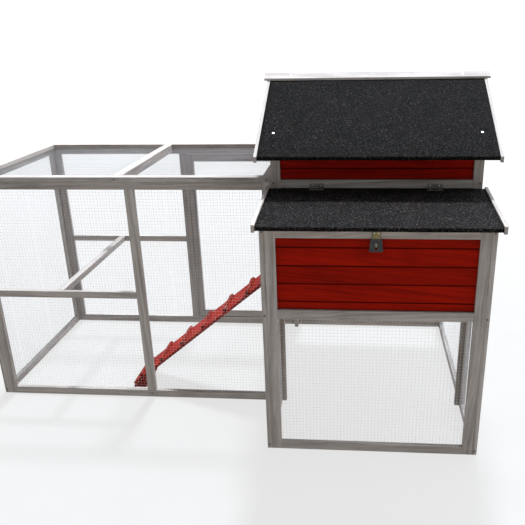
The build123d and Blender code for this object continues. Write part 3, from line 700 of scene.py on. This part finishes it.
pins = []
for pts, _ in solids_of("hinge_pins"):
    c = pts.mean(0)
    u, s, vt = np.linalg.svd(pts - c)
    pins.append((Vector(c), Vector(vt[0]).normalized()))
leaf_screws("hinge_leaves_fixed", "fixed_leaf_screws", pins)
leaf_screws("lid_hinge_leaves", "lid_leaf_screws", pins)
leaf_screws("ramp_hinge_leaves", "ramp_leaf_screws", pins)
leaf_screws("run_door_hinge_leaves", "run_door_leaf_screws", pins)
leaf_screws("side_door_hinge_leaves", "side_door_leaf_screws", pins)


# ---------------------------------------------------------------- hardware keeps its CAD shape
def carry(node, mat):
    o = frame["nodes"][node]
    o.data.materials.clear()
    o.data.materials.append(mat)


for node in sorted(frame["nodes"]):
    if SLOT[node] in ("zinc_steel", "bronzed_steel") and node != "frame_screws":
        carry(node, MATS[SLOT[node]])
carry("hasp_tongue", MATS["dark_plate"])
carry("hasp_staple", MATS["bright_steel"])
carry("tray", MATS["galvanised_sheet"])


# the lid hinges take the darker zinc copy: rust, and painted shade where they sit under the roof
carry("lid_hinge_leaves", MATS["rusty_shaded_zinc"])
carry("hinge_leaves_fixed", MATS["rusty_shaded_zinc"])


def lathe(build, c, n, prof, mi=0, seg=24):
    """A turned shape: prof = [(radius, height)] from the base outwards, closed at both ends."""
    d, e1, e2 = grain_frame(n)
    P, F = [], []
    for r, h in prof:
        for j in range(seg):
            t = 2 * math.pi * j / seg
            P.append(c + d * h + (e1 * math.cos(t) + e2 * math.sin(t)) * r)
    for i in range(len(prof) - 1):
        for j in range(seg):
            k = (j + 1) % seg
            F.append((i * seg + j, i * seg + k, (i + 1) * seg + k, (i + 1) * seg + j))
    F.append(tuple(range(seg - 1, -1, -1)))
    F.append(tuple((len(prof) - 1) * seg + j for j in range(seg)))
    build.add(P, F, None, 0.5, None, [True] * (len(F) - 2) + [False, False], mi)


def slab(build, outline, c, ex, ey, n, z0, z1, ease=0.0003, mi=0):
    """A flat plate with eased edges: outline in (u, v) about c, from z0 to z1 along n."""
    def inset(pts, k):
        m = sum((Vector(p) for p in pts), Vector((0, 0))) / len(pts)
        return [Vector(p) + (m - Vector(p)).normalized() * k for p in pts]
    rows = [(outline, z0), (outline, z1 - ease), (inset(outline, ease * 0.5), z1 - ease * 0.25), (inset(outline, ease * 1.2), z1)]
    k = len(outline)
    P, F = [], []
    for pts, z in rows:
        for p in pts:
            P.append(c + ex * p[0] + ey * p[1] + n * z)
    for i in range(len(rows) - 1):
        for j in range(k):
            q = (j + 1) % k
            F.append((i * k + j, i * k + q, (i + 1) * k + q, (i + 1) * k + j))
    F.append(tuple(range(k - 1, -1, -1)))
    F.append(tuple((len(rows) - 1) * k + j for j in range(k)))
    build.add(P, F, None, 0.5, None, False, mi)


def ring_slab(build, hw, hh, band, c, ex, ey, n, z0, z1, mi=0, seg=6):
    """A raised rim round a slot."""
    def rr(w, h, r):
        out = []
        for sx_, sy_, a in ((1, 1, 0), (-1, 1, 90), (-1, -1, 180), (1, -1, 270)):
            for i in range(seg + 1):
                t = math.radians(a + 90 * i / seg)
                out.append((sx_ * (w - r) + math.cos(t) * r, sy_ * (h - r) + math.sin(t) * r))
        return out
    inner, outer = rr(hw, hh, min(hw, hh) * 0.6), rr(hw + band, hh + band, min(hw, hh) * 0.6 + band)
    mid_i, mid_o = rr(hw + band * 0.25, hh + band * 0.25, min(hw, hh) * 0.6 + band * 0.25), rr(hw + band * 0.75, hh + band * 0.75, min(hw, hh) * 0.6 + band * 0.75)
    rows = [(inner, z0), (inner, z1 - 0.0002), (mid_i, z1), (mid_o, z1), (outer, z1 - 0.0002), (outer, z0)]
    k = len(inner)
    P, F = [], []
    for pts, z in rows:
        for p in pts:
            P.append(c + ex * p[0] + ey * p[1] + n * z)
    for i in range(len(rows)):
        j2 = (i + 1) % len(rows)
        for j in range(k):
            q = (j + 1) % k
            F.append((i * k + j, i * k + q, j2 * k + q, j2 * k + j))
    build.add(P, F, None, 0.5, None, False, mi)


# hasp: brass strap over the narrow part, a rim round the slot and two rivets
lo_t, hi_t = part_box("hasp_tongue")
hx = (lo_t.x + hi_t.x) / 2
yf = min(v.co.y for v in frame["nodes"]["hasp_tongue"].data.vertices if v.co.z < lo_t.z + 0.03)
ez, ex_, nf = Vector((0, 0, 1)), Vector((1, 0, 0)), Vector((0, -1, 0))
b = Build()
top_z, low_z = hi_t.z - 0.0085, lo_t.z + 0.046
zc = (top_z + low_z) / 2
slab(b, [(-0.0135, low_z - zc), (0.0135, low_z - zc), (0.0135, top_z - zc), (-0.0135, top_z - zc)], Vector((hx, yf, zc)), ex_, ez, nf, -0.0001, 0.0007, 0.0003, 0)
rr_ = random.Random(5)
for q in (-1, 1):
    screw_head(b, Vector((hx + q * 0.0075, yf - 0.0007, zc + 0.003)), nf, 0.0024, 0.0007, rr_, True, 1)
o = b.make("hasp_strap", [MATS["bronzed_steel"], MATS["zinc_steel"]])
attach(o, "hasp"); fix_normals(o)
b = Build()
zs = lo_t.z + 0.0205
ring_slab(b, 0.0035, 0.0145, 0.0032, Vector((hx, yf, zs)), ex_, ez, nf, -0.0001, 0.0010)
for q in (-1, 1):
    lathe(b, Vector((hx + q * 0.0148, yf, lo_t.z + 0.0085)), nf, [(0.0032, -0.0001), (0.0032, 0.0006), (0.0026, 0.0012), (0.0012, 0.0015)])
    lathe(b, Vector((hx + q * 0.0130, yf, lo_t.z + 0.0335)), nf, [(0.0026, -0.0001), (0.0026, 0.0005), (0.0020, 0.0010), (0.0009, 0.0012)])
o = b.make("hasp_rim", [MATS["dark_plate"]])
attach(o, "hasp"); fix_normals(o)


# ---------------------------------------------------------------- stage, light and camera
def world():
    w = bpy.data.worlds.new("studio")
    bpy.context.scene.world = w
    w.use_nodes = True
    t = w.node_tree
    t.nodes.clear()
    out = t.nodes.new("ShaderNodeOutputWorld")
    bg = t.nodes.new("ShaderNodeBackground")
    tc = t.nodes.new("ShaderNodeTexCoord")
    sp = t.nodes.new("ShaderNodeSeparateXYZ")
    mr = t.nodes.new("ShaderNodeMapRange")
    mr.interpolation_type = "SMOOTHSTEP"
    t.links.new(tc.outputs["Generated"], sp.inputs[0])
    t.links.new(sp.outputs[1], mr.inputs[0])
    for i, k in enumerate((-0.25, 0.45, 0.385, 1.02)):
        mr.inputs[i + 1].default_value = k
    side = t.nodes.new("ShaderNodeMapRange")
    side.interpolation_type = "SMOOTHSTEP"
    dot = t.nodes.new("ShaderNodeVectorMath")
    dot.operation = "DOT_PRODUCT"
    dot.inputs[1].default_value = (0.70, 0.45, 0.55)
    t.links.new(tc.outputs["Generated"], dot.inputs[0])
    t.links.new(dot.outputs["Value"], side.inputs[0])
    for i, k in enumerate((0.42, 0.92, 0.0, 2.8)):
        side.inputs[i + 1].default_value = k
    add = t.nodes.new("ShaderNodeMath")
    add.operation = "ADD"
    t.links.new(mr.outputs[0], add.inputs[0])
    t.links.new(side.outputs[0], add.inputs[1])
    seen = t.nodes.new("ShaderNodeLightPath")
    level = t.nodes.new("ShaderNodeMix")
    t.links.new(seen.outputs["Is Camera Ray"], level.inputs[0])
    t.links.new(add.outputs[0], level.inputs[2])
    level.inputs[3].default_value = 1.1
    t.links.new(level.outputs[0], bg.inputs[1])
    tint = t.nodes.new("ShaderNodeMix")
    tint.data_type = "RGBA"
    t.links.new(mr.outputs[0], tint.inputs[0])
    tint.inputs[6].default_value = (0.92, 0.97, 1.04, 1)
    tint.inputs[7].default_value = (0.90, 0.99, 1.14, 1)
    plain = t.nodes.new("ShaderNodeMix")
    plain.data_type = "RGBA"
    t.links.new(seen.outputs["Is Camera Ray"], plain.inputs[0])
    t.links.new(tint.outputs[2], plain.inputs[6])
    plain.inputs[7].default_value = (1.0, 1.0, 1.0, 1)
    t.links.new(plain.outputs[2], bg.inputs[0])
    t.links.new(bg.outputs[0], out.inputs[0])


world()
sun = bpy.data.lights.new("sun", "SUN")
sun.energy = 7.6
sun.color = (0.90, 0.985, 1.10)
sun.angle = math.radians(7)
sun_o = bpy.data.objects.new("sun", sun)
bpy.context.scene.collection.objects.link(sun_o)
sun_o.rotation_euler = Vector((-0.02, -0.44, -0.90)).to_track_quat("-Z", "Y").to_euler()


def floor():
    bm = bmesh.new()
    rings, seg = 14, 72
    c = Vector(((cad_lo[0] + cad_hi[0]) / 2, (cad_lo[1] + cad_hi[1]) / 2, 0))
    mid = bm.verts.new(c)
    prev = None
    for i in range(1, rings + 1):
        r = 0.5 * 1.45 ** i
        ring = [bm.verts.new(c + Vector((math.cos(2 * math.pi * j / seg) * r, math.sin(2 * math.pi * j / seg) * r, 0))) for j in range(seg)]
        for j in range(seg):
            k = (j + 1) % seg
            if prev is None:
                bm.faces.new((mid, ring[j], ring[k]))
            else:
                bm.faces.new((prev[j], ring[j], ring[k], prev[k]))
        prev = ring
    me = bpy.data.meshes.new("floor")
    bm.to_mesh(me)
    bm.free()
    o = bpy.data.objects.new("floor", me)
    bpy.context.scene.collection.objects.link(o)
    m = Mat("pale_floor")
    q = m.obj()
    spot = m.noise(q, 3.0, 5.0, 0.6)
    ln = m.n("VectorMath", operation="LENGTH")
    m.l(q, ln.inputs[0])
    far = m.rng(ln.outputs["Value"], 1.5, 8.0, 0.0, 1.0)
    cc = m.ramp(spot, [(0.3, (0.046, 0.0435, 0.040)), (0.7, (0.054, 0.051, 0.047))])
    cc = m.mix(far, cc, (0.080, 0.076, 0.070))
    m.p.inputs["Emission Color"].default_value = (1.0, 1.0, 1.0, 1)
    m.p.inputs["Emission Strength"].default_value = 0.735
    me.materials.append(m.done(cc, 0.8, m.bump(m.noise(q, 260.0, 4.0), 0.0004, 0.5), 0.0, 0.15))
    o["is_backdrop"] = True


floor()

cam = bpy.data.cameras.new("camera")
cam_o = bpy.data.objects.new("camera", cam)
bpy.context.scene.collection.objects.link(cam_o)
bpy.context.scene.camera = cam_o
cx, cy, cz = math.cos(0.3941), math.cos(0.0165), math.cos(-0.0836)
sx, sy, sz = math.sin(0.3941), math.sin(0.0165), math.sin(-0.0836)
RX = Matrix(((1, 0, 0), (0, cx, -sx), (0, sx, cx)))
RY = Matrix(((cy, 0, sy), (0, 1, 0), (-sy, 0, cy)))
RZ = Matrix(((cz, -sz, 0), (sz, cz, 0), (0, 0, 1)))
M = Matrix(((1, 0, 0), (0, 0, -1), (0, 1, 0))) @ (RZ @ RY @ RX)
right, down, fwd = M[0], M[1], M[2]
rot = Matrix((right, -down, -fwd)).transposed().to_4x4()
eye = Vector((cad_lo[0] + 1.5501, cad_lo[1] - 2.0455, 1.4700))
cam_o.matrix_world = Matrix.Translation(eye) @ rot
cam.sensor_width = 36.0
cam.lens = 661.0 / 525 * 36.0
cam.shift_x = (262.5 - 301.8) / 525
cam.shift_y = (304.0 - 262.5) / 525
cam.clip_start, cam.clip_end = 0.05, 400.0
cam.dof.use_dof = False
bpy.context.scene.view_settings.view_transform = "Standard"

lo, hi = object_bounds()
print("solids", counts)
